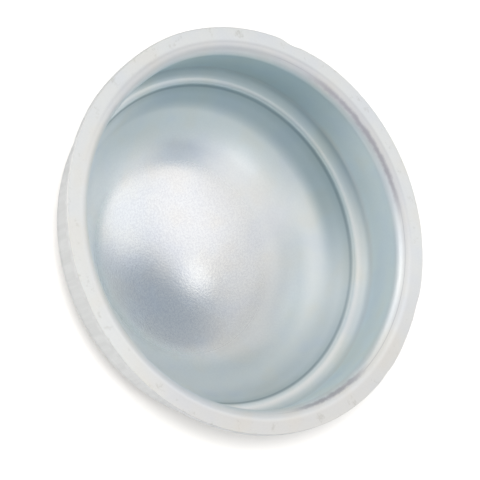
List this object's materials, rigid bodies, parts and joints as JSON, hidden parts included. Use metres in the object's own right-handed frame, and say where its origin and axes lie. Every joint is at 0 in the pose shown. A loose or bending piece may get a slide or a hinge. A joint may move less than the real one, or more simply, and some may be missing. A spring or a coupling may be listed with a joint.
{
  "type": "hub grease cap",
  "caption": "Round drawn steel cap that closes a wheel hub: flat flange at the mouth, straight bore wall, narrow ledge and a shallow dome, zinc plated.",
  "frame": {"origin": "on the cap's axis, under the crown of the dome, on the surface that it stands on", "axes": "+Z along the cap's axis, out of the open mouth; X and Y across it"},
  "size_m": [0.062, 0.062, 0.0238],
  "materials": {
    "zinc_plated_steel": "satin zinc plating with a pale blue passivate"
  },
  "bodies": {
    "root": {"grease_cap": "zinc_plated_steel"}
  },
  "joints": []
}
